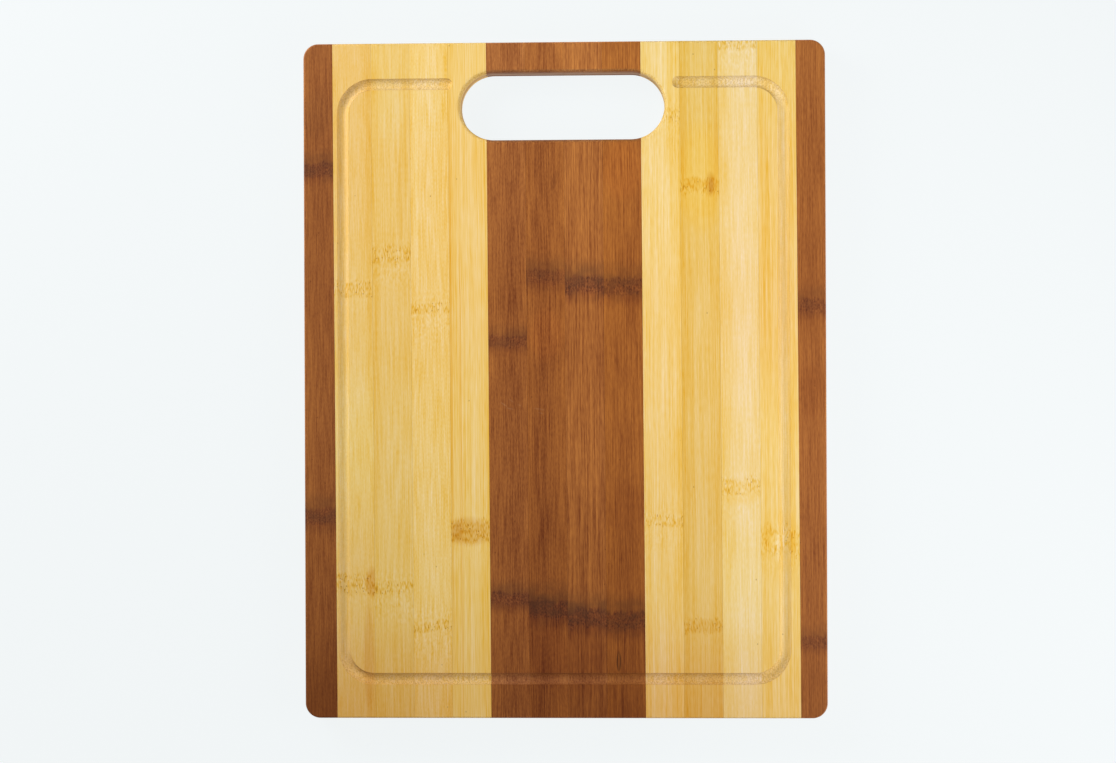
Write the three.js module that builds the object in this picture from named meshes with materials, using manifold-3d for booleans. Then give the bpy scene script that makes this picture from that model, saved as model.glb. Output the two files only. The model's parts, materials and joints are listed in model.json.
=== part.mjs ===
import * as THREE from 'three';
import { mergeVertices } from 'three/addons/utils/BufferGeometryUtils.js';
import Module from 'manifold-3d';

const wasm = await Module();
wasm.setup();

// Bamboo cutting board lying flat, in millimetres. The rest face is on Z = 0 with the
// origin under the middle of the board, +Y points to the hand slot, +Z is the cutting face.

// Board blank
const boardWidth = 278;
const boardLength = 360;
const plyThickness = 6;
const plyCount = 3;
const cornerRadius = 8;
const edgeEase = 1;

// Lamination. The slats of both outer plies run along Y, the core slats along X. The outer
// slats lean slightly to the outline, because the board was sawn a little askew to them.
const slatWidth = 20.5625;
const slatsPerBand = 4;
const edgeStripLeft = 16.375;
const seamLean = 0.0045;
const coreSlatCount = 18;
const glueLine = 0.05;

// Hand slot
const slotCentreX = -0.625;
const slotLength = 109;
const slotHeight = 36;
const bridgeWidth = 16;
const slotRoundover = 2;

// Juice groove: a round-nosed cut, measured to its centre line from each side of the board
const grooveRadius = 3.25;
const grooveDepth = 2.25;
const grooveInsetLeft = 21;
const grooveInsetRight = 22.125;
const grooveInsetTop = 22;
const grooveInsetBottom = 21;
const grooveCornerRadius = 16;
const grooveEndClearance = 4;

// Smoothness of the curved surfaces
const cornerSteps = 8;
const slotEndSteps = 16;
const easeSteps = 3;
const roundoverSteps = 4;
const grooveSides = 20;
const grooveCornerSteps = 8;
const grooveEndSteps = 4;

// Sizes that follow from the ones above
const boardThickness = plyThickness * plyCount;
const halfWidth = boardWidth / 2;
const halfLength = boardLength / 2;
const overrun = 2;
const bandWidth = slatWidth * slatsPerBand;
const corePitch = boardLength / coreSlatCount;
const slotRadius = slotHeight / 2;
const slotCentreY = halfLength - bridgeWidth - slotRadius;
const grooveCentreZ = boardThickness - grooveDepth + grooveRadius;
const grooveHalfWidth = Math.sqrt(grooveRadius ** 2 - (grooveRadius - grooveDepth) ** 2);

const naturalBamboo = { color: 0xe3c084, roughness: 0.55, metalness: 0 };
const darkBamboo = { color: 0x8f5427, roughness: 0.5, metalness: 0 };
const coreBamboo = { color: 0xd0a468, roughness: 0.6, metalness: 0 };

// The solid enclosed by a closed geometry.
function solidOf(geometry) {
  geometry.deleteAttribute('normal');
  geometry.deleteAttribute('uv');
  const merged = mergeVertices(geometry, 1e-4);
  return new wasm.Manifold(new wasm.Mesh({
    numProp: 3,
    vertProperties: new Float32Array(merged.attributes.position.array),
    triVerts: new Uint32Array(merged.index.array),
  }));
}

// A rectangle with rounded corners, centred on (cx, cy).
function roundedRectangle(cx, cy, halfX, halfY, radius) {
  const shape = new THREE.Shape();
  shape.absarc(cx + halfX - radius, cy + halfY - radius, radius, 0, Math.PI / 2);
  shape.absarc(cx - halfX + radius, cy + halfY - radius, radius, Math.PI / 2, Math.PI);
  shape.absarc(cx - halfX + radius, cy - halfY + radius, radius, Math.PI, Math.PI * 1.5);
  shape.absarc(cx + halfX - radius, cy - halfY + radius, radius, Math.PI * 1.5, Math.PI * 2);
  shape.closePath();
  return shape;
}

// The finished outside of the board: rounded corners and eased edges.
function boardEnvelope() {
  const outline = roundedRectangle(0, 0, halfWidth, halfLength, cornerRadius);
  const geometry = new THREE.ExtrudeGeometry(outline, {
    depth: boardThickness - 2 * edgeEase,
    curveSegments: cornerSteps,
    bevelThickness: edgeEase,
    bevelSize: edgeEase,
    bevelOffset: -edgeEase,
    bevelSegments: easeSteps,
  });
  geometry.translate(0, 0, edgeEase);
  return solidOf(geometry);
}

// A slot with round ends, drawn a given amount larger than the finished hand slot.
function slotOutline(grow) {
  const shape = new THREE.Shape();
  const halfStraight = slotLength / 2 - slotRadius;
  const radius = slotRadius + grow;
  const quarter = Math.PI / 2;
  shape.absarc(slotCentreX + halfStraight, slotCentreY, radius, -quarter, quarter);
  shape.absarc(slotCentreX - halfStraight, slotCentreY, radius, quarter, 3 * quarter);
  shape.closePath();
  return shape;
}

// The hand slot as a cutter. Its mouth at each face is flared by the rounded-over edge.
function slotCutter() {
  const flared = new THREE.ExtrudeGeometry(slotOutline(slotRoundover), {
    depth: boardThickness - 2 * slotRoundover,
    curveSegments: slotEndSteps,
    bevelThickness: slotRoundover,
    bevelSize: -slotRoundover,
    bevelSegments: roundoverSteps,
  });
  flared.translate(0, 0, slotRoundover);
  const mouth = { depth: overrun, curveSegments: slotEndSteps, bevelEnabled: false };
  const above = new THREE.ExtrudeGeometry(slotOutline(slotRoundover), mouth);
  const below = above.clone();
  above.translate(0, 0, boardThickness);
  below.translate(0, 0, -overrun);
  return solidOf(flared).add(solidOf(above)).add(solidOf(below));
}

// Stations on the centre line of the juice groove, from the left of the hand slot all the
// way round the board to its right. The bar that cuts the groove narrows to a dome at each end.
function grooveStations() {
  const left = -halfWidth + grooveInsetLeft + grooveCornerRadius;
  const right = halfWidth - grooveInsetRight - grooveCornerRadius;
  const top = halfLength - grooveInsetTop - grooveCornerRadius;
  const bottom = -halfLength + grooveInsetBottom + grooveCornerRadius;
  const reach = slotLength / 2 + grooveEndClearance + grooveHalfWidth;
  const stations = [];
  const addDome = (x, side, order) => order.forEach((step) => {
    const angle = (step / grooveEndSteps) * Math.PI / 2;
    stations.push({
      x: x + side * grooveRadius * Math.sin(angle),
      y: top + grooveCornerRadius,
      heading: Math.PI,
      scale: Math.cos(angle),
    });
  });
  const addCorner = (cx, cy, from) => {
    for (let i = 0; i <= grooveCornerSteps; i += 1) {
      const angle = from + (i / grooveCornerSteps) * Math.PI / 2;
      stations.push({
        x: cx + grooveCornerRadius * Math.cos(angle),
        y: cy + grooveCornerRadius * Math.sin(angle),
        heading: angle + Math.PI / 2,
        scale: 1,
      });
    }
  };
  const outward = Array.from({ length: grooveEndSteps }, (_, step) => step);
  const inward = [...outward].reverse();
  addDome(slotCentreX - reach, 1, inward);
  addCorner(left, top, Math.PI / 2);
  addCorner(left, bottom, Math.PI);
  addCorner(right, bottom, Math.PI * 1.5);
  addCorner(right, top, 0);
  addDome(slotCentreX + reach, -1, outward);
  return stations;
}

// The juice groove as a cutter: a round bar swept along the centre line.
function grooveCutter() {
  const positions = [];
  const stations = grooveStations();
  stations.forEach(({ x, y, heading, scale }) => {
    for (let i = 0; i < grooveSides; i += 1) {
      const angle = (i / grooveSides) * Math.PI * 2;
      const aside = grooveRadius * scale * Math.cos(angle);
      positions.push(x - aside * Math.sin(heading));
      positions.push(y + aside * Math.cos(heading));
      positions.push(grooveCentreZ + grooveRadius * scale * Math.sin(angle));
    }
  });
  const triangles = [];
  for (let ring = 0; ring + 1 < stations.length; ring += 1) {
    for (let i = 0; i < grooveSides; i += 1) {
      const a = ring * grooveSides + i;
      const b = ring * grooveSides + (i + 1) % grooveSides;
      triangles.push(a, b, b + grooveSides, a, b + grooveSides, a + grooveSides);
    }
  }
  const last = (stations.length - 1) * grooveSides;
  for (let i = 1; i + 1 < grooveSides; i += 1) {
    triangles.push(0, i + 1, i, last, last + i, last + i + 1);
  }
  const geometry = new THREE.BufferGeometry();
  geometry.setAttribute('position', new THREE.Float32BufferAttribute(positions, 3));
  geometry.setIndex(triangles);
  return solidOf(geometry);
}

// A straight blank between two seams. The seams cross Y = 0 at x0 and x1 and shift sideways
// along the length by the lean.
function slatBlank(x0, x1, y0, y1, z0, lean) {
  const geometry = new THREE.BoxGeometry(x1 - x0, y1 - y0, plyThickness);
  geometry.translate((x0 + x1) / 2, (y0 + y1) / 2, z0 + plyThickness / 2);
  geometry.applyMatrix4(new THREE.Matrix4().makeShear(0, 0, -lean, 0, 0, 0));
  return solidOf(geometry);
}

const envelope = boardEnvelope();
const slot = slotCutter();
const groove = grooveCutter();

const board = new THREE.Group();
board.name = 'bamboo_cutting_board';

// Trims a blank to the finished board and adds it as one named mesh.
function addPiece(name, blank, finish) {
  const solid = blank.intersect(envelope).subtract(slot).subtract(groove);
  const { vertProperties, triVerts } = solid.getMesh();
  const geometry = new THREE.BufferGeometry();
  geometry.setAttribute('position', new THREE.BufferAttribute(vertProperties, 3));
  geometry.setIndex(new THREE.BufferAttribute(triVerts, 1));
  geometry.computeVertexNormals();
  const mesh = new THREE.Mesh(geometry, new THREE.MeshStandardMaterial(finish));
  mesh.name = name;
  board.add(mesh);
}

// One outer ply: a dark strip at each side, light slats, and a dark band down the middle
// whose slats are parted by the hand slot into a panel piece and a bridge piece.
function addOuterPly(prefix, z0) {
  const gap = glueLine / 2;
  const firstSeam = -halfWidth + edgeStripLeft;
  const lastSeam = firstSeam + 3 * bandWidth;
  const yLow = -halfLength - overrun;
  const yHigh = halfLength + overrun;
  const add = (name, x0, x1, y0, y1, finish) => {
    addPiece(`${prefix}_${name}`, slatBlank(x0, x1, y0, y1, z0, seamLean), finish);
  };
  const addBand = (start, addSlat) => {
    for (let i = 0; i < slatsPerBand; i += 1) {
      const seam = start + i * slatWidth;
      addSlat(i + 1, seam + gap, seam + slatWidth - gap);
    }
  };
  add('edge_left', -halfWidth - overrun, firstSeam - gap, yLow, yHigh, darkBamboo);
  addBand(firstSeam, (number, x0, x1) => {
    add(`light_left_${number}`, x0, x1, yLow, yHigh, naturalBamboo);
  });
  addBand(firstSeam + bandWidth, (number, x0, x1) => {
    add(`dark_panel_${number}`, x0, x1, yLow, slotCentreY, darkBamboo);
    add(`dark_bridge_${number}`, x0, x1, slotCentreY, yHigh, darkBamboo);
  });
  addBand(firstSeam + 2 * bandWidth, (number, x0, x1) => {
    add(`light_right_${number}`, x0, x1, yLow, yHigh, naturalBamboo);
  });
  add('edge_right', lastSeam + gap, halfWidth + overrun, yLow, yHigh, darkBamboo);
}

// The core ply: cross slats along X. A slat that the slot cuts right through becomes two.
function addCorePly(z0) {
  const gap = glueLine / 2;
  const xLow = -halfWidth - overrun;
  const xHigh = halfWidth + overrun;
  const add = (name, x0, x1, y0, y1) => {
    addPiece(name, slatBlank(x0, x1, y0, y1, z0, 0), coreBamboo);
  };
  for (let i = 0; i < coreSlatCount; i += 1) {
    const low = -halfLength + i * corePitch;
    const high = low + corePitch;
    const y0 = i === 0 ? low - overrun : low + gap;
    const y1 = i === coreSlatCount - 1 ? high + overrun : high - gap;
    const name = `core_cross_${String(i + 1).padStart(2, '0')}`;
    if (low >= slotCentreY - slotRadius && high <= slotCentreY + slotRadius) {
      add(`${name}_left`, xLow, slotCentreX, y0, y1);
      add(`${name}_right`, slotCentreX, xHigh, y0, y1);
    } else {
      add(name, xLow, xHigh, y0, y1);
    }
  }
}

addOuterPly('back', 0);
addCorePly(plyThickness);
addOuterPly('face', 2 * plyThickness);

export default board;
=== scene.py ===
import json
import math
import random

import bpy
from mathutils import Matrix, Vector


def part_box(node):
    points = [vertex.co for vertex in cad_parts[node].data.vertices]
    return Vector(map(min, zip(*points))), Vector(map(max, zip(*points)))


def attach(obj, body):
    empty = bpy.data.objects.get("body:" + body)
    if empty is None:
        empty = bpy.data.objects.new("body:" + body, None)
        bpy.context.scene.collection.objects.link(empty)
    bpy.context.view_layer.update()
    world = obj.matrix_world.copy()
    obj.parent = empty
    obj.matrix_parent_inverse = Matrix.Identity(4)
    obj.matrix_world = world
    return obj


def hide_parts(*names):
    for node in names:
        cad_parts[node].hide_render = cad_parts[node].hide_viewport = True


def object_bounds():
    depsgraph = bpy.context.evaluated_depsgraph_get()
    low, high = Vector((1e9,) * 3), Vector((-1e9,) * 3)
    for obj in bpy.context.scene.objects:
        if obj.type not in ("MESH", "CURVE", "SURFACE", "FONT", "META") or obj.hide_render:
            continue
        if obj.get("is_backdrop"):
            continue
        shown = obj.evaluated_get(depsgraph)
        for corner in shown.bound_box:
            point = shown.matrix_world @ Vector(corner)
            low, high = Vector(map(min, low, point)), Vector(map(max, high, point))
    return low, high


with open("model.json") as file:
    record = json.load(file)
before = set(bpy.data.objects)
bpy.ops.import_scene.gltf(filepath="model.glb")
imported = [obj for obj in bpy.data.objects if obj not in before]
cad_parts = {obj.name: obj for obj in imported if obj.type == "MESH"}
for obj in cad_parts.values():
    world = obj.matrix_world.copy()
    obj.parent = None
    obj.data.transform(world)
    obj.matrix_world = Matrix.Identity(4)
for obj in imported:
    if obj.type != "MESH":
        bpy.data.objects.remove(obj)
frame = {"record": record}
cad_low, cad_high = (corner.copy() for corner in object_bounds())

MM = 0.001

# The board, from the frame
HALF_WIDTH = (cad_high.x - cad_low.x) / 2
HALF_LENGTH = (cad_high.y - cad_low.y) / 2
THICKNESS = cad_high.z - cad_low.z
PLY = THICKNESS / 3
SLATS_PER_BAND = 4
SEAM_LEAN = 0.0045
GLUE_LINE = 0.05 * MM
OVERRUN = 2 * MM
FIRST_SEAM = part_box("face_edge_left")[1].x - SEAM_LEAN * HALF_LENGTH + GLUE_LINE / 2
LAST_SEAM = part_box("face_edge_right")[0].x + SEAM_LEAN * HALF_LENGTH - GLUE_LINE / 2
SLAT_WIDTH = (LAST_SEAM - FIRST_SEAM) / (3 * SLATS_PER_BAND)

# Shaping of the blank
CORNER_RADIUS = 8 * MM
EDGE_EASE = 1 * MM

# Hand slot
SLOT_CENTRE_X = -0.625 * MM
SLOT_RADIUS = 18 * MM
SLOT_HALF_LENGTH = 54.5 * MM
SLOT_CENTRE_Y = HALF_LENGTH - 16 * MM - SLOT_RADIUS
SLOT_ROUNDOVER = 2 * MM

# Juice groove
GROOVE_RADIUS = 3.25 * MM
GROOVE_DEPTH = 2.25 * MM
GROOVE_LEFT = -HALF_WIDTH + 21 * MM
GROOVE_RIGHT = HALF_WIDTH - 22.125 * MM
GROOVE_TOP = HALF_LENGTH - 22 * MM
GROOVE_BOTTOM = -HALF_LENGTH + 21 * MM
GROOVE_CORNER = 16 * MM
GROOVE_END_CLEARANCE = 4 * MM
GROOVE_HALF_WIDTH = math.sqrt(GROOVE_RADIUS ** 2 - (GROOVE_RADIUS - GROOVE_DEPTH) ** 2)

# Fineness of the curved surfaces
CORNER_STEPS = 20
EASE_STEPS = 6
SLOT_STEPS = 24
ROUNDOVER_STEPS = 8
GROOVE_SIDES = 56
GROOVE_CORNER_STEPS = 24
GROOVE_DOME_STEPS = 10


# ---------------------------------------------------------------- shapes

def mesh_object(name, vertices, faces):
    mesh = bpy.data.meshes.new(name)
    mesh.from_pydata(vertices, [], faces)
    mesh.validate()
    obj = bpy.data.objects.new(name, mesh)
    bpy.context.scene.collection.objects.link(obj)
    return obj


def skin(name, rings):
    """Joins a stack of equal rings, counter-clockwise seen from the end of the stack."""
    count = len(rings[0])
    vertices = [point for ring in rings for point in ring]
    faces = [tuple(reversed(range(count)))]
    for level in range(len(rings) - 1):
        for i in range(count):
            a = level * count + i
            b = level * count + (i + 1) % count
            faces.append((a, b, b + count, a + count))
    last = (len(rings) - 1) * count
    faces.append(tuple(range(last, last + count)))
    return mesh_object(name, vertices, faces)


def rounded_ring(half_x, half_y, radius, steps, z):
    ring = []
    for quarter, (sx, sy) in enumerate(((1, 1), (-1, 1), (-1, -1), (1, -1))):
        for i in range(steps + 1):
            angle = (quarter + i / steps) * math.pi / 2
            ring.append((sx * (half_x - radius) + radius * math.cos(angle),
                         sy * (half_y - radius) + radius * math.sin(angle), z))
    return ring


def quarter_round(radius, steps):
    """Rise above the face and distance from the wall, along a quarter-round edge."""
    angles = [i / steps * math.pi / 2 for i in range(steps + 1)]
    return [(radius * (1 - math.cos(a)), radius * (1 - math.sin(a))) for a in angles]


def make_envelope():
    edge = quarter_round(EDGE_EASE, EASE_STEPS)
    levels = edge + [(THICKNESS - rise, inset) for rise, inset in reversed(edge)]
    return skin("envelope", [
        rounded_ring(HALF_WIDTH - inset, HALF_LENGTH - inset, CORNER_RADIUS - inset,
                     CORNER_STEPS, z)
        for z, inset in levels
    ])


def make_slot_cutter():
    edge = quarter_round(SLOT_ROUNDOVER, ROUNDOVER_STEPS)
    levels = [(-OVERRUN, SLOT_ROUNDOVER)] + edge
    levels += [(THICKNESS - rise, grow) for rise, grow in reversed(edge)]
    levels.append((THICKNESS + OVERRUN, SLOT_ROUNDOVER))
    rings = []
    for z, grow in levels:
        radius = SLOT_RADIUS + grow
        ring = []
        for side in (1, -1):
            centre = SLOT_CENTRE_X + side * (SLOT_HALF_LENGTH - SLOT_RADIUS)
            for i in range(2 * SLOT_STEPS + 1):
                angle = (i / (2 * SLOT_STEPS) - 0.5) * math.pi
                ring.append((centre + side * radius * math.cos(angle),
                             SLOT_CENTRE_Y + side * radius * math.sin(angle), z))
        rings.append(ring)
    return skin("slot_cutter", rings)


def groove_stations():
    """(x, y, heading, scale) along the groove's centre line, with a dome at each end."""
    left, right = GROOVE_LEFT + GROOVE_CORNER, GROOVE_RIGHT - GROOVE_CORNER
    top, bottom = GROOVE_TOP - GROOVE_CORNER, GROOVE_BOTTOM + GROOVE_CORNER
    reach = SLOT_HALF_LENGTH + GROOVE_END_CLEARANCE + GROOVE_HALF_WIDTH
    stations = []

    def add_dome(x, side, steps):
        for step in steps:
            angle = step / GROOVE_DOME_STEPS * math.pi / 2
            stations.append((x + side * GROOVE_RADIUS * math.sin(angle), GROOVE_TOP,
                             math.pi, math.cos(angle)))

    def add_corner(cx, cy, start):
        for i in range(GROOVE_CORNER_STEPS + 1):
            angle = start + i / GROOVE_CORNER_STEPS * math.pi / 2
            stations.append((cx + GROOVE_CORNER * math.cos(angle),
                             cy + GROOVE_CORNER * math.sin(angle), angle + math.pi / 2, 1))

    add_dome(SLOT_CENTRE_X - reach, 1, reversed(range(GROOVE_DOME_STEPS)))
    add_corner(left, top, math.pi / 2)
    add_corner(left, bottom, math.pi)
    add_corner(right, bottom, math.pi * 1.5)
    add_corner(right, top, 0)
    add_dome(SLOT_CENTRE_X + reach, -1, range(GROOVE_DOME_STEPS))
    return stations


def make_groove_cutter():
    centre_z = THICKNESS - GROOVE_DEPTH + GROOVE_RADIUS
    rings = []
    for x, y, heading, scale in groove_stations():
        ring = []
        for i in range(GROOVE_SIDES):
            angle = (i + 0.5) / GROOVE_SIDES * math.tau
            aside = GROOVE_RADIUS * scale * math.cos(angle)
            ring.append((x - aside * math.sin(heading), y + aside * math.cos(heading),
                         centre_z + GROOVE_RADIUS * scale * math.sin(angle)))
        rings.append(ring)
    return skin("groove_cutter", rings)


def make_blank(name, x0, x1, y0, y1, z0, z1, lean):
    def ring(z):
        return [(x0 - lean * y0, y0, z), (x1 - lean * y0, y0, z),
                (x1 - lean * y1, y1, z), (x0 - lean * y1, y1, z)]
    return skin(name, [ring(z0), ring(z1)])


def carve(obj, cuts):
    """Trims a blank with each (cutter, operation) and leaves it as one clean mesh."""
    for cutter, operation in cuts:
        modifier = obj.modifiers.new("cut", "BOOLEAN")
        modifier.operation = operation
        modifier.solver = "EXACT"
        modifier.object = cutter
    evaluated = obj.evaluated_get(bpy.context.evaluated_depsgraph_get())
    mesh = bpy.data.meshes.new_from_object(evaluated)
    mesh.name = obj.name
    obj.modifiers.clear()
    obj.data = mesh
    mesh.shade_smooth()
    mesh.set_sharp_from_angle(angle=math.radians(30))
    weighted = obj.modifiers.new("even_faces", "WEIGHTED_NORMAL")
    weighted.keep_sharp = True
    weighted.weight = 100


envelope = make_envelope()
slot_cutter = make_slot_cutter()
groove_cutter = make_groove_cutter()


def add_piece(node, x0, x1, y0, y1, z0, z1, lean, material, cuts):
    obj = make_blank(f"{node}_slat", x0, x1, y0, y1, z0, z1, lean)
    carve(obj, cuts)
    obj.data.materials.clear()
    obj.data.materials.append(material)
    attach(obj, "root")
    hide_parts(node)
    return obj


# ---------------------------------------------------------------- bamboo

class Graph:
    """Builds a material's node tree with short calls. Numbers and sockets both serve as inputs."""

    def __init__(self, name):
        self.material = bpy.data.materials.new(name)
        self.material.use_nodes = True
        self.tree = self.material.node_tree
        self.tree.nodes.clear()

    def put(self, kind, inputs, output=0, **settings):
        node = self.tree.nodes.new(kind)
        for key, value in settings.items():
            setattr(node, key, value)
        for key, value in inputs.items():
            if isinstance(value, bpy.types.NodeSocket):
                self.tree.links.new(value, node.inputs[key])
            else:
                node.inputs[key].default_value = value
        return node.outputs[output] if node.outputs else None

    def math(self, operation, a, b=0.0, c=0.0, clamp=False):
        return self.put("ShaderNodeMath", {0: a, 1: b, 2: c}, operation=operation,
                        use_clamp=clamp)

    def add(self, *terms):
        total = terms[0]
        for term in terms[1:]:
            total = self.math("ADD", total, term)
        return total

    def mul(self, a, b):
        return self.math("MULTIPLY", a, b)

    def sub(self, a, b):
        return self.math("SUBTRACT", a, b)

    def vector(self, x, y, z):
        return self.put("ShaderNodeCombineXYZ", {0: x, 1: y, 2: z})

    def span(self, value, low, high, to_low=0.0, to_high=1.0, smooth=True):
        """Maps low..high to to_low..to_high, held at the ends."""
        kind = "SMOOTHSTEP" if smooth else "LINEAR"
        return self.put("ShaderNodeMapRange", {0: value, 1: low, 2: high, 3: to_low, 4: to_high},
                        interpolation_type=kind, clamp=True)

    def noise(self, vector, detail=2.0, roughness=0.5, distortion=0.0):
        return self.put("ShaderNodeTexNoise", {
            "Vector": vector, "Scale": 1.0, "Detail": detail, "Roughness": roughness,
            "Distortion": distortion,
        })

    def mix(self, factor, a, b, blend="MIX"):
        node = self.tree.nodes.new("ShaderNodeMix")
        node.data_type = "RGBA"
        node.blend_type = blend
        node.clamp_factor = True
        for index, value in ((0, factor), (6, a), (7, b)):
            if isinstance(value, bpy.types.NodeSocket):
                self.tree.links.new(value, node.inputs[index])
            else:
                node.inputs[index].default_value = value
        return node.outputs[2]

    def ramp(self, factor, stops, interpolation="LINEAR"):
        node = self.tree.nodes.new("ShaderNodeValToRGB")
        ramp = node.color_ramp
        ramp.interpolation = interpolation
        while len(ramp.elements) < len(stops):
            ramp.elements.new(0.5)
        for element, (place, colour) in zip(ramp.elements, stops):
            element.position = place
            element.color = colour
        self.tree.links.new(factor, node.inputs[0])
        return node.outputs[0]


def linear(red, green, blue):
    """A colour written as 0..255 screen values, as the linear colour nodes use."""
    def channel(value):
        value /= 255
        return value / 12.92 if value <= 0.04045 else ((value + 0.055) / 1.055) ** 2.4
    return channel(red), channel(green), channel(blue), 1.0


# How the wood's colour runs from its deepest streaks, through its own colour at 0.5, to its
# palest ones, as multiples of the slat's own colour.
STREAKS = {
    "light": ((0.0, (0.72, 0.54, 0.18)), (0.25, (0.95, 0.80, 0.29)), (0.5, (1.0, 1.0, 1.0)),
              (0.75, (1.045, 1.165, 1.92)), (1.0, (1.08, 1.25, 2.55))),
    "dark": ((0.0, (0.22, 0.17, 0.20)), (0.25, (0.54, 0.40, 0.42)), (0.5, (1.0, 1.0, 1.0)),
             (0.75, (1.44, 1.60, 1.50)), (1.0, (1.75, 2.05, 1.90))),
}
# Each layer of streaks: width in mm, length as a multiple of the slat's own streak length,
# and how strongly it shows in light and in dark bamboo.
STREAK_LAYERS = (
    (5.5, 6.0, {"light": 0.19, "dark": 0.20}),
    (2.4, 3.0, {"light": 0.16, "dark": 0.11}),
    (1.1, 1.6, {"light": 0.27, "dark": 0.25}),
    (0.50, 1.0, {"light": 0.95, "dark": 1.00}),
    (0.42, 0.12, {"light": 0.55, "dark": 0.60}),
)
# What the wood's faint gloss adds to its colour under the studio's soft light.
SHEEN = 0.009
# How the colour changes where a cutter has cut into the wood: partly the cut fibres' own paler
# colour and partly painted light, which brightens the groove's and the slot's cut faces and warms
# the groove's shade.
CUT_TINTS_AND_PAINTED_LIGHT = {
    "light": {"groove along": (1.04, 1.09, 1.26), "groove across": (1.0, 1.06, 1.38),
              "slot": (1.02, 1.0, 0.92)},
    "dark": {"groove along": (1.55, 1.96, 3.1), "groove across": (1.55, 1.96, 3.1),
             "slot": (0.90, 1.10, 1.6)},
}
# Painted shade: the core's ends, which show in the slot's wall, are darkened as if they lay in
# shadow.
CORE_SLOT_PAINTED_SHADE = (0.52, 0.44, 0.55)
# The groove counts as running across the fibres once it is within this share of its corner's
# radius of its end run.
CORNER_END = 1 / 3
# How far each channel follows a change in brightness along a slat.
LENGTHWISE_FOLLOW = {"light": (0.4, 1.12, 1.9), "dark": (0.8, 1.08, 1.45)}


def knuckle_masks(g, u, v, shift, knuckles):
    """Where the wood is near a knuckle: the flecked band itself, the fading wood that hangs
    below it, the smoky zone that fades upwards, the short curly grain further below and the
    line along the band's foot. The ends of the band are a little ragged, fibre by fibre."""
    fine_rag = g.noise(g.vector(g.mul(u, 1 / 0.8), shift, 3.3), detail=0)
    broad_rag = g.noise(g.vector(g.mul(u, 1 / 6.0), shift, 7.7), detail=1)
    ragged = g.add(g.mul(g.sub(fine_rag, 0.5), 0.5), g.mul(g.sub(broad_rag, 0.5), 0.7))
    found = [0.0] * 6
    for spot, height, strength, curl in knuckles:
        above = g.sub(v, spot)
        calm = g.mul(above, 1 / height)
        t = g.add(calm, ragged)
        top = g.span(t, 0.62, 0.36)
        masks = (g.mul(top, g.span(t, -0.66, -0.36)),
                 g.mul(top, g.span(t, -1.5, -0.35)),
                 g.mul(g.span(calm, 2.0, 0.35), g.span(calm, -1.5, 0.0)),
                 g.span(g.math("ABSOLUTE", calm), 2.6, 0.4),
                 g.mul(g.span(above, 14, 3), g.span(above, -26, -9)),
                 g.span(g.math("ABSOLUTE", g.add(t, 0.36)), 0.20, 0.06))
        amounts = (strength, strength, strength, strength, curl, strength)
        found = [g.math("MAXIMUM", so_far, g.mul(mask, amount))
                 for so_far, mask, amount in zip(found, masks, amounts)]
    return found


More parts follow.
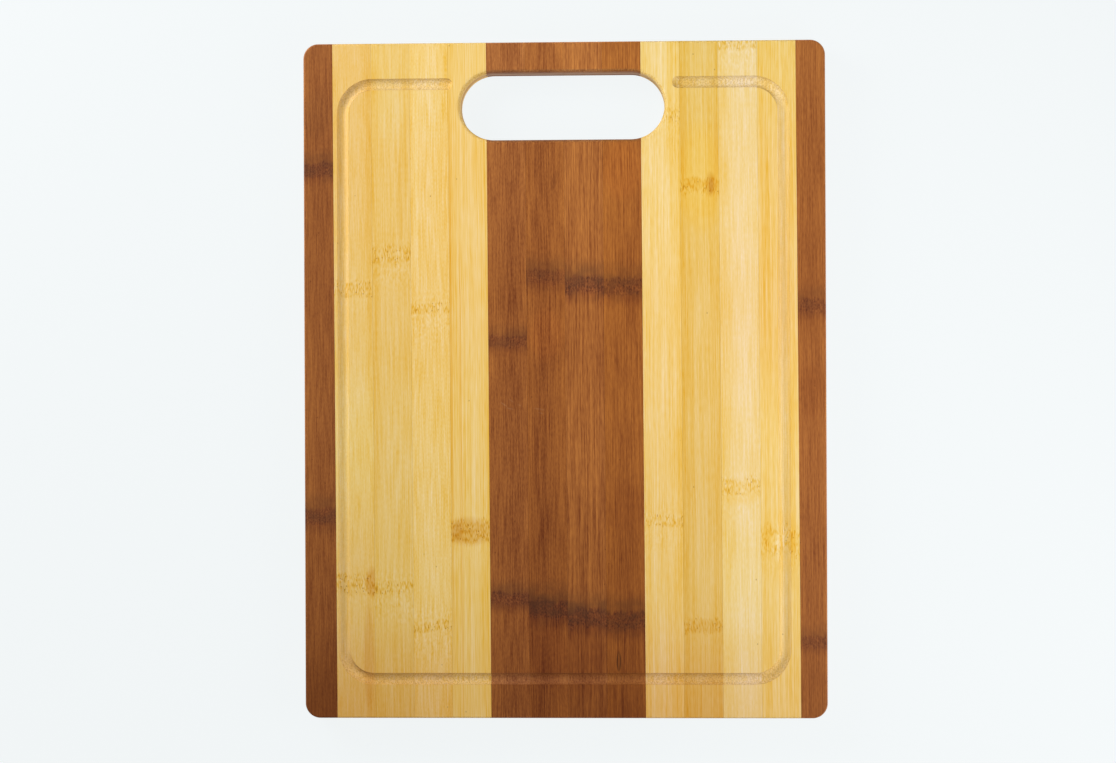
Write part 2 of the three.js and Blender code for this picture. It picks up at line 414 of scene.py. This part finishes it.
def bamboo(name, style, colour, x0, x1, seed, sides=(), lengthwise=(), grain=(24, 1.0),
           knuckles=(), marks=(), along="y"):
    """A slat's finish. colour is the slat's own colour on screen, 0..255. sides are shifts
    towards pale (+) or deep (-) at even places from its left side to its right, and lengthwise
    are gains in brightness at even places from its low end to its high end. grain is how long
    its streaks are, in mm, and how strongly they show. Each knuckle is (place along the slat
    in mm, height in mm, strength, how curly the grain is near it). Each mark is (across in mm,
    along in mm, width in mm, length in mm, turn in degrees, tint)."""
    g = Graph(name)
    place = g.put("ShaderNodeTexCoord", {}, output="Object")
    split = g.tree.nodes.new("ShaderNodeSeparateXYZ")
    g.tree.links.new(place, split.inputs[0])
    x, y, z = (g.mul(split.outputs[i], 1 / MM) for i in range(3))
    if along == "y":
        u, v, reach = g.add(x, g.mul(y, SEAM_LEAN)), y, HALF_LENGTH / MM
    else:
        u, v, reach = y, x, HALF_WIDTH / MM
    shift = random.Random(seed).uniform(-900, 900)
    w = g.add(z, shift)
    band, tail, smoke, halo, curls, foot = knuckle_masks(g, u, v, shift, knuckles)

    def cells(side, width, length):
        """Texture coordinates for spots of a width across the fibres and a length along them."""
        return g.vector(g.mul(side, 1 / width), g.mul(v, 1 / length), g.mul(w, 1 / width))

    def spots(width, length):
        return g.put("ShaderNodeTexVoronoi", {
            "Vector": cells(u, width, length), "Scale": 1.0, "Randomness": 1.0},
            output="Distance")

    def stained_or_shaded(wood, amount, factors):
        """The wood with an amount of stain or of painted shade on it, which multiplies its colour.
        """
        return g.mix(amount, wood, g.mix(1.0, wood, factors + (1,), "MULTIPLY"))

    # The fibres wander slowly along the slat and sharply round a knuckle
    wander = g.noise(g.vector(g.mul(u, 0.08), g.mul(v, 0.015), g.mul(w, 0.08)), detail=1)
    swirl = g.noise(g.vector(g.mul(u, 0.35), g.mul(v, 0.2), g.mul(w, 0.35)), detail=1)
    curl = 1.3 if style == "light" else 0.8
    fu = g.add(u, g.mul(g.sub(wander, 0.5), 1.6), g.mul(g.mul(g.sub(swirl, 0.5), curl), halo))

    length, contrast = grain
    level = 0.5
    if sides:
        span = g.span(u, x0 / MM, x1 / MM, smooth=False)
        stops = [((i + 0.5) / len(sides), (0.5 + s,) * 3 + (1,)) for i, s in enumerate(sides)]
        level = g.ramp(span, stops, "B_SPLINE")
    layers = []
    for across, stretch, weights in STREAK_LAYERS:
        layer = g.noise(cells(fu, across, stretch * length), detail=0)
        layers.append(layer)
        level = g.add(level, g.mul(g.sub(layer, 0.5), weights[style] * contrast))
    patch = g.noise(g.vector(g.mul(u, 0.06), g.mul(v, 0.03), g.mul(w, 0.06)), detail=2)
    level = g.add(level, g.mul(g.sub(patch, 0.5), 0.35))

    # In a knuckle's band the streaks break into flecks, deep and pale by turns
    if style == "light":
        dash = g.noise(cells(fu, 0.5, 2.4), detail=0)
        fleck = g.noise(cells(u, 0.6, 0.8), detail=0)
        curl_grain = g.noise(cells(fu, 0.9, 2.4), detail=0, distortion=0.7)
        comb = g.math("MINIMUM", g.mul(g.sub(dash, 0.49), 3.1), 0.34)
        level = g.add(level, g.mul(comb, band), g.mul(g.mul(g.sub(fleck, 0.62), 0.45), foot),
                      g.mul(g.mul(g.sub(curl_grain, 0.5), 0.85), curls))
    else:
        dash = g.noise(cells(u, 0.6, 1.1), detail=1, roughness=0.5)
        level = g.add(level, g.mul(g.mul(g.sub(dash, 0.5), 2.5), band),
                      g.mul(g.mul(g.sub(layers[3], 0.58), 0.5), tail))
    own = tuple(c - SHEEN for c in linear(*colour)[:3])
    stops = [(at, tuple(o * f * 0.5 for o, f in zip(own, factors)) + (1,))
             for at, factors in STREAKS[style]]
    shade = g.ramp(g.add(0.25, g.mul(level, 0.5)), stops)
    wood = g.mix(1.0, shade, (2.0, 2.0, 2.0, 1.0), "MULTIPLY")

    def tinted(red, green, blue):
        return tuple(o * f for o, f in zip(own, (red, green, blue))) + (1.0,)

    # Pits stand in the band. Light bamboo glows golden there, and dark bamboo turns smoky
    pits = g.mul(g.span(spots(2.0, 2.4), 0.22, 0.12), band)
    cloud = g.noise(g.vector(g.mul(u, 1 / 7.0), g.mul(v, 1 / 5.0), shift), detail=2)
    if style == "light":
        glow = g.mul(band, g.span(cloud, 0.3, 0.7, 0.45, 1.0))
        wood = stained_or_shaded(wood, g.mul(glow, 0.9), (0.95, 0.88, 0.58))
        wood = g.mix(g.mul(pits, 0.75), wood, tinted(0.50, 0.32, 0.12))
    else:
        murk = g.mul(smoke, g.span(cloud, 0.25, 0.7, 0.45, 1.0))
        wood = stained_or_shaded(wood, g.mul(tail, 0.6), (0.84, 0.68, 0.72))
        wood = stained_or_shaded(wood, g.mul(band, 0.6), (0.72, 0.66, 0.90))
        wood = g.mix(g.mul(murk, 0.64), wood, tinted(0.33, 0.38, 0.72))
        wood = g.mix(g.mul(pits, 0.4), wood, tinted(0.20, 0.24, 0.50))

    # Scattered specks
    specks = g.span(spots(9.0, 14.0), 0.045, 0.02)
    wood = g.mix(g.mul(specks, 0.6), wood, tinted(0.4, 0.3, 0.25))

    # Marks: lens shapes, such as a crack, a scuff, a stain, a paler patch or a long streak
    for across, down, width, reach_along, turn, tint in marks:
        du, dv = g.sub(u, across), g.sub(v, down)
        cos, sin = math.cos(math.radians(turn)), math.sin(math.radians(turn))
        over = g.mul(g.add(g.mul(du, cos), g.mul(dv, sin)), 2 / width)
        beside = g.mul(g.add(g.mul(du, -sin), g.mul(dv, cos)), 2 / reach_along)
        lens = g.span(g.add(g.mul(over, over), g.mul(beside, beside)), 1.0, 0.2)
        wood = stained_or_shaded(wood, lens, tint)

    # Cut across the fibres, the wood shows the dark ends of its bundles
    normal = g.tree.nodes.new("ShaderNodeNewGeometry").outputs["Normal"]
    axis = (0.0, 1.0, 0.0) if along == "y" else (1.0, 0.0, 0.0)
    facing = g.put("ShaderNodeVectorMath", {0: normal, 1: axis}, output="Value",
                   operation="DOT_PRODUCT")
    end_grain = g.span(g.math("ABSOLUTE", facing), 0.15, 0.95)
    ends = g.mul(g.span(spots(0.58, 40.0), 0.42, 0.18), end_grain)
    wood = g.mix(g.mul(ends, 0.65), wood, tinted(0.52, 0.43, 0.38))
    wood = g.mix(g.mul(end_grain, 0.12), wood, tinted(0.75, 0.7, 0.75))

    # Where a cutter has cut into the wood, in the groove and round the slot, its colour changes:
    # partly the cut fibres' own colour, partly painted light that brightens these cut faces
    depth = g.math("MINIMUM", z, g.sub(THICKNESS / MM, z))
    cut = g.mul(g.span(depth, 0.02, 0.3), 0.85)
    cut_tints_and_light = CUT_TINTS_AND_PAINTED_LIGHT[style]
    margin = SLOT_ROUNDOVER + 1 * MM
    near_x = g.math("ABSOLUTE", g.sub(x, SLOT_CENTRE_X / MM))
    near_y = g.math("ABSOLUTE", g.sub(y, SLOT_CENTRE_Y / MM))
    by_slot = g.math("LESS_THAN", near_y, (SLOT_RADIUS + margin) / MM)
    if along == "y":
        in_slot = g.mul(g.math("LESS_THAN", near_x, (SLOT_HALF_LENGTH + margin) / MM), by_slot)
        across = g.span(g.math("ABSOLUTE", y), (GROOVE_TOP - GROOVE_CORNER) / MM,
                        (GROOVE_TOP - GROOVE_CORNER * CORNER_END) / MM)
        groove = g.mix(across, cut_tints_and_light["groove along"] + (1,), cut_tints_and_light["groove across"] + (1,))
        cut_colour_and_light = g.mix(in_slot, groove, cut_tints_and_light["slot"] + (1,))
        # Painted light and the cut wood's own colour, laid on the groove's and the slot's cut
        # faces
        wood = g.mix(cut, wood, g.mix(1.0, wood, cut_colour_and_light, "MULTIPLY"))
        torn = g.span(g.noise(cells(u, 0.7, 0.8), detail=0), 0.48, 0.66)
        stipple = g.mul(g.mul(cut, g.add(0.2, g.mul(across, 0.8))), torn)
        wood = stained_or_shaded(wood, stipple, (0.84, 0.77, 0.68))
    else:
        # Painted shade darkens the core's ends where they show in the slot's wall
        in_slot = g.mul(g.math("LESS_THAN", near_x, 2 * SLAT_WIDTH / MM), by_slot)
        wood = stained_or_shaded(wood, in_slot, CORE_SLOT_PAINTED_SHADE)

    if lengthwise:
        span = g.span(v, -reach, reach, smooth=False)
        last = len(lengthwise) - 1
        follows = LENGTHWISE_FOLLOW[style]
        stops = [(i / last, tuple(gain ** follow / 2 for follow in follows) + (1,))
                 for i, gain in enumerate(lengthwise)]
        gain = g.mix(1.0, g.ramp(span, stops, "EASE"), (2.0, 2.0, 2.0, 1.0), "MULTIPLY")
        wood = g.mix(1.0, wood, gain, "MULTIPLY")

    hair = layers[3]
    rough = g.add(0.50, g.mul(g.sub(hair, 0.5), 0.2), g.mul(band, 0.08), g.mul(end_grain, 0.15))
    height = g.add(g.mul(layers[2], 0.5), g.mul(hair, 0.4), g.mul(g.mul(dash, band), 0.3),
                   g.mul(pits, -0.3), g.mul(ends, -1.0))
    bump = g.put("ShaderNodeBump", {"Strength": 0.35, "Distance": 0.06 * MM, "Height": height})
    surface = g.put("ShaderNodeBsdfPrincipled", {
        "Base Color": wood, "Roughness": rough, "Normal": bump,
        "Specular IOR Level": 0.15,
    })
    g.put("ShaderNodeOutputMaterial", {"Surface": surface})
    return g.material


# The two bamboos' own colours on screen, 0..255, and what one step lighter or one step paler,
# which is less golden, adds to them.
BAMBOO_COLOURS = {"light": (228, 190, 110), "dark": (145, 87, 46)}
LIGHTER_STEP = (3, 3, 3)
PALER_STEP = (-1, 1, 5)

# How brightness runs from the low end of a slat to its high end, for each band.
LEFT_LIGHT = (0.85, 1.05, 1.05, 1.0, 1.0, 1.05)
RIGHT_LIGHT = (0.8, 1.0, 1.0, 1.0, 1.05, 1.1)
MIDDLE_DARK = (0.65, 0.9, 1.05, 1.05, 1.15, 1.35)

# The slats of the cutting face. A tone is the steps by which the slat is lighter and paler than
# its bamboo's own colour.
FACE_SLATS = {
    "edge_left": dict(tone=(0.5, 0), sides=(0.04, 0.02, 0, -0.03, -0.06),
                      lengthwise=(0.6, 0.95, 1.05, 1.0, 0.95, 1.05), grain=(14, 0.7),
                      knuckles=((112.5, 7, 0.85, 0), (-72.5, 8, 0.9, 0)),
                      marks=((-131, 142, 18, 34, 0, (0.92, 0.92, 0.94)),)),
    "light_left_1": dict(tone=(0, 0), sides=(0, 0, 0.05, 0.05, -0.1),
                         lengthwise=(0.8, 1.0, 1.1, 1.0, 0.95, 0.95), grain=(15, 0.75),
                         knuckles=((49, 8, 0.85, 0.35), (-108.5, 10, 0.95, 0.35)),
                         marks=((-103.4, -107.5, 9, 19, 0, (0.89, 0.76, 0.58)),
                                (-105.5, -148, 7, 70, 0, (0.93, 0.84, 0.70)),
                                (-103.8, 90, 3.5, 260, 0, (0.98, 0.94, 0.78)))),
    "light_left_2": dict(tone=(-1, -0.5), sides=(-0.12, 0.05, 0.03, 0.02, 0),
                         lengthwise=LEFT_LIGHT, grain=(22, 0.85),
                         knuckles=((67, 9, 0.75, 1.0), (-110.5, 6, 0.8, 1.0)),
                         marks=((-84.4, 130, 3.5, 130, 0, (0.98, 0.94, 0.76)),
                                (-87.0, 95, 4, 60, 0, (0.98, 0.94, 0.80)),
                                (-92, 145, 16, 50, 0, (1.0, 1.04, 1.18)))),
    "light_left_3": dict(tone=(1, 0), sides=(-0.1, 0.06, 0.02, 0.02, -0.1),
                         lengthwise=LEFT_LIGHT, grain=(14, 0.95),
                         knuckles=((38.5, 5.5, 0.8, 1.0), (-131, 6, 0.8, 1.0)),
                         marks=((-78.5, 120, 3.5, 150, 0, (1.02, 1.08, 1.30)),
                                (-70, 145, 18, 50, 0, (1.0, 1.04, 1.18)))),
    "light_left_4": dict(tone=(0.5, 0), sides=(-0.12, 0.03, 0.07, 0.02, -0.1),
                         lengthwise=(0.95, 1.05, 1.05, 1.0, 1.0, 1.05), grain=(85, 1.1),
                         knuckles=((-80.5, 11, 1.1, 0.25),),
                         marks=((-51.5, -80.5, 32, 18, 0, (0.88, 0.77, 0.58)),
                                (-57.5, -80.5, 6, 14, 0, (0.93, 0.86, 0.75)),
                                (-60.2, 0, 1.4, 380, 0, (0.95, 0.84, 0.58)),
                                (-55.4, -60, 1.8, 320, 0, (0.97, 0.88, 0.66)))),
    "dark_1": dict(tone=(-1, 0.5), sides=(0.1, 0.07, 0, -0.12, -0.1, 0.05),
                   lengthwise=(0.85, 1.0, 1.05, 1.0, 1.2, 1.5), grain=(17, 0.9),
                   knuckles=((20.5, 6, 0.7, 0), (-116.5, 6.5, 0.95, 0)),
                   marks=((-32.3, -13, 5, 1.0, -35, (1.12, 1.35, 2.0)),
                          (-28.3, -11, 3.5, 1.0, -40, (1.08, 1.25, 1.7)),
                          (-29.0, -15.2, 5, 0.9, -12, (1.10, 1.30, 1.9)),
                          (-24.0, -13.4, 3, 0.9, -30, (1.06, 1.20, 1.6)))),
    "dark_2": dict(tone=(-2, 0.5), sides=(0.05, -0.1, -0.1, 0.03, 0.12),
                   lengthwise=(0.8, 0.95, 1.05, 1.1, 1.2, 1.55), grain=(18, 0.9),
                   knuckles=((55, 7.5, 0.7, 0), (-122, 9, 1.3, 0)),
                   marks=((-18.5, -134, 10, 44, 0, (0.86, 0.81, 0.83)),
                          (-9.5, -147, 28, 44, 0, (0.90, 0.84, 0.84)),
                          (-9.5, 24, 22, 34, 0, (1.12, 1.10, 1.06)),
                          (-4.4, 106, 4, 13, -15, (0.82, 0.78, 0.80)),
                          (-13.5, -15.5, 7, 1.3, -10, (1.08, 1.25, 1.75)),
                          (-12.8, -17.6, 3.5, 1.0, -15, (1.08, 1.25, 1.75)))),
    "dark_3": dict(tone=(1.5, -0.5), sides=(0.02, 0, 0, 0, 0),
                   lengthwise=MIDDLE_DARK, grain=(30, 1.0),
                   knuckles=((50.5, 8.5, 1.15, 0), (-126.5, 9, 1.25, 0)),
                   marks=((9, -148, 28, 54, 0, (0.84, 0.77, 0.74)),)),
    "dark_4": dict(tone=(-0.5, -0.5), sides=(0.1, 0, -0.03, -0.03, 0.03),
                   lengthwise=MIDDLE_DARK, grain=(26, 0.85),
                   knuckles=((49, 8.5, 0.9, 0), (-128.5, 9, 1.15, 0)),
                   marks=((31.6, 112, 26, 40, 0, (1.14, 1.12, 1.08)),
                          (31.6, -68, 26, 36, 0, (0.90, 0.86, 0.86)),
                          (27.7, -149.8, 3.0, 12.5, 0, (0.32, 0.32, 0.4)),
                          (27.7, -149.8, 1.5, 10.0, 0, (2.9, 2.9, 2.2)))),
    "light_right_1": dict(tone=(-0.5, 1), sides=(-0.02, 0.1, 0.1, 0.05, -0.16),
                          lengthwise=RIGHT_LIGHT, grain=(45, 0.95),
                          knuckles=((140.5, 7, 0.7, 0.5), (-75, 6, 0.8, 0.5))),
    "light_right_2": dict(tone=(-4, -0.5), sides=(-0.24, 0.03, 0.14, 0.0, -0.1),
                          lengthwise=RIGHT_LIGHT, grain=(38, 0.95),
                          knuckles=((103, 8, 0.8, 0.2), (-130.5, 8, 0.65, 0.2)),
                          marks=((73, 108, 30, 70, 0, (1.03, 0.99, 0.74)),
                                 (78.6, 103.5, 6.5, 16, 0, (0.90, 0.80, 0.62)),
                                 (78.8, 103, 3, 10, 0, (0.86, 0.74, 0.60)),
                                 (70, 104, 12, 9, 0, (0.97, 0.90, 0.66)),
                                 (81.5, 118, 3, 60, 0, (0.97, 0.88, 0.62)),
                                 (63.8, 130, 3, 80, 0, (0.97, 0.90, 0.66)),
                                 (74, -131, 30, 9, 0, (0.97, 0.94, 0.86)))),
    "light_right_3": dict(tone=(0.5, 4), sides=(-0.2, -0.03, 0.08, 0.06, 0),
                          lengthwise=(0.9, 1.05, 1.0, 0.95, 1.0, 1.05), grain=(24, 0.7),
                          knuckles=((178, 6, 0.8, 0.5), (-57, 9, 0.7, 0.4)),
                          marks=((93, -60, 34, 16, 0, (1.0, 0.95, 0.76)),)),
    "light_right_4": dict(tone=(-1.5, 0), sides=(-0.05, -0.08, 0.05, 0.22, -0.12, 0),
                          lengthwise=(0.95, 1.05, 1.05, 0.95, 1.0, 1.1), grain=(50, 1.0),
                          knuckles=((-86, 15, 0.65, 0.5),),
                          marks=((113, -86, 40, 46, 0, (1.0, 0.97, 0.84)),
                                 (107.5, -84, 8, 19, 0, (1.0, 0.94, 0.68)),
                                 (120.5, -85, 5, 18, 0, (1.0, 0.93, 0.62)),
                                 (112.6, -87, 2.6, 22, 0, (1.05, 1.14, 1.6)),
                                 (115.4, -83, 1.8, 15, 0, (1.05, 1.14, 1.6)))),
    "edge_right": dict(tone=(2, -0.5), sides=(0.05, -0.05, -0.05, 0.03, 0.05),
                       lengthwise=(0.8, 0.95, 1.0, 0.9, 0.95, 1.1), grain=(26, 0.8),
                       knuckles=((39, 7, 0.65, 0), (-139.5, 6, 0.65, 0)),
                       marks=((131.5, -7, 18, 34, 0, (0.90, 0.85, 0.83)),)),
}
CORE_COLOUR = (205, 158, 88)


def slat_colour(style, lighter, paler):
    """A slat's colour on screen: its bamboo's own, moved by steps of lighter and of paler."""
    parts = zip(BAMBOO_COLOURS[style], LIGHTER_STEP, PALER_STEP)
    return tuple(own + lighter * up + paler * wan for own, up, wan in parts)


def slat_seams():
    """(label, left seam, right seam) for each slat of an outer ply, at the board's middle."""
    labels = ["edge_left"]
    for band in ("light_left", "dark", "light_right"):
        labels += [f"{band}_{i + 1}" for i in range(SLATS_PER_BAND)]
    seams = [-HALF_WIDTH - OVERRUN]
    seams += [FIRST_SEAM + i * SLAT_WIDTH for i in range(3 * SLATS_PER_BAND + 1)]
    seams.append(HALF_WIDTH + OVERRUN)
    labels.append("edge_right")
    return list(zip(labels, seams, seams[1:]))


def add_outer_ply(prefix, z0, z1, cutters, seed):
    for index, (label, x0, x1) in enumerate(slat_seams()):
        style = "light" if "light" in label else "dark"
        looks = dict(FACE_SLATS[label])
        colour = slat_colour(style, *looks.pop("tone"))
        if prefix == "back":
            knuckles = [(-spot, *rest) for spot, *rest in looks["knuckles"]]
            looks = dict(looks, lengthwise=(), knuckles=knuckles, marks=())
        material = bamboo(f"{prefix}_{label}_bamboo", style, colour, x0, x1, seed + index,
                          **looks)
        gap = GLUE_LINE / 2
        parts = {f"{prefix}_{label}": (-HALF_LENGTH - OVERRUN, HALF_LENGTH + OVERRUN)}
        if label.startswith("dark_"):
            number = label.split("_")[1]
            parts = {
                f"{prefix}_dark_panel_{number}": (-HALF_LENGTH - OVERRUN, SLOT_CENTRE_Y),
                f"{prefix}_dark_bridge_{number}": (SLOT_CENTRE_Y, HALF_LENGTH + OVERRUN),
            }
        for node, (y0, y1) in parts.items():
            add_piece(node, x0 + gap, x1 - gap, y0, y1, z0, z1, SEAM_LEAN, material,
                      cutters)


def add_core_ply(z0, z1, cutters, seed):
    nodes = sorted(s["node"] for s in frame["record"]["subparts"] if s["node"].startswith("core_"))
    for index, node in enumerate(nodes):
        low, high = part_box(node)
        x0 = -HALF_WIDTH - OVERRUN if low.x < cad_low.x + MM else SLOT_CENTRE_X
        x1 = HALF_WIDTH + OVERRUN if high.x > cad_high.x - MM else SLOT_CENTRE_X
        material = bamboo(f"{node}_bamboo", "light", CORE_COLOUR, low.y, high.y, seed + index,
                          along="x")
        add_piece(node, x0, x1, low.y, high.y, z0, z1, 0.0, material, cutters)


through = [(envelope, "INTERSECT"), (slot_cutter, "DIFFERENCE")]
add_outer_ply("back", 0, PLY, through, 300)
add_core_ply(PLY, 2 * PLY, through, 500)
add_outer_ply("face", 2 * PLY, THICKNESS, through + [(groove_cutter, "DIFFERENCE")], 100)
for cutter in (envelope, slot_cutter, groove_cutter):
    bpy.data.objects.remove(cutter, do_unlink=True)


# ---------------------------------------------------------------- studio

FLOOR_HALF_SIZE = 3.0
FLOOR_DROP = 0.2 * MM
FLOOR_COLOUR = linear(243, 247, 248)
FLOOR_GLOW = 0.94

floor = mesh_object("studio_floor", [(x * FLOOR_HALF_SIZE, y * FLOOR_HALF_SIZE, -FLOOR_DROP)
                                     for x, y in ((-1, -1), (1, -1), (1, 1), (-1, 1))],
                    [(0, 1, 2, 3)])
pale = Graph("pale_floor")
floor_paint = pale.put("ShaderNodeBsdfDiffuse", {"Color": FLOOR_COLOUR})
floor_glow = pale.put("ShaderNodeEmission", {"Color": FLOOR_COLOUR, "Strength": 1.0})
pale.put("ShaderNodeOutputMaterial", {
    "Surface": pale.put("ShaderNodeMixShader", {0: FLOOR_GLOW, 1: floor_paint, 2: floor_glow})})
floor.data.materials.append(pale.material)
floor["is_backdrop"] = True


def add_light(name, kind, location, aim, power):
    data = bpy.data.lights.new(name, kind)
    data.energy = power
    light = bpy.data.objects.new(name, data)
    light.location = location
    light.rotation_euler = (Vector(aim) - Vector(location)).to_track_quat("-Z", "Y").to_euler()
    light.visible_camera = False
    bpy.context.scene.collection.objects.link(light)
    return light


BOX_SIZE = 0.4
POOL_CENTRE = (0.115, 0.097)
POOL_HEIGHT = 1.4
POOL_SPREAD = 12.2
ROOM_BRIGHTNESS = 0.312

# Two low soft boxes, the left one towards the handle, and a soft pool of light from above
for name, location, power in (("box_left", (-0.54, 0.41, 0.38), 4.4),
                              ("box_right", (0.39, -0.17, 0.28), 1.5)):
    box = add_light(name, "AREA", location, (0.0, 0.02, 0.0), power)
    box.data.shape = "SQUARE"
    box.data.size = BOX_SIZE
pool = add_light("pool", "SPOT", (*POOL_CENTRE, POOL_HEIGHT), (*POOL_CENTRE, 0.0), 27)
pool.data.spot_size = 2 * math.radians(POOL_SPREAD)
pool.data.spot_blend = 1.0
pool.data.shadow_soft_size = 0.15
pool.visible_glossy = False

world = bpy.data.worlds.new("soft_room")
world.use_nodes = True
world.node_tree.nodes["Background"].inputs[0].default_value = (1.0, 1.0, 1.0, 1.0)
world.node_tree.nodes["Background"].inputs[1].default_value = ROOM_BRIGHTNESS
bpy.context.scene.world = world

# Camera above the board and a little to its right, aimed close to the middle of its top face
CAMERA_DISTANCE = 1.29
CAMERA_AIM = Vector((-3.4 * MM, -0.85 * MM, THICKNESS))
CAMERA_TURN = (math.radians(0.16), math.radians(2.13), math.radians(-0.23))
LENS = 78.2

camera_data = bpy.data.cameras.new("camera")
camera_data.lens = LENS
camera_data.sensor_width = 36
camera_data.clip_start = 0.05
camera_data.clip_end = 20
camera = bpy.data.objects.new("camera", camera_data)
camera.rotation_euler = CAMERA_TURN
camera.location = CAMERA_AIM + camera.rotation_euler.to_matrix() @ Vector((0, 0, CAMERA_DISTANCE))
bpy.context.scene.collection.objects.link(camera)
bpy.context.scene.camera = camera
bpy.context.scene.view_settings.view_transform = "Standard"
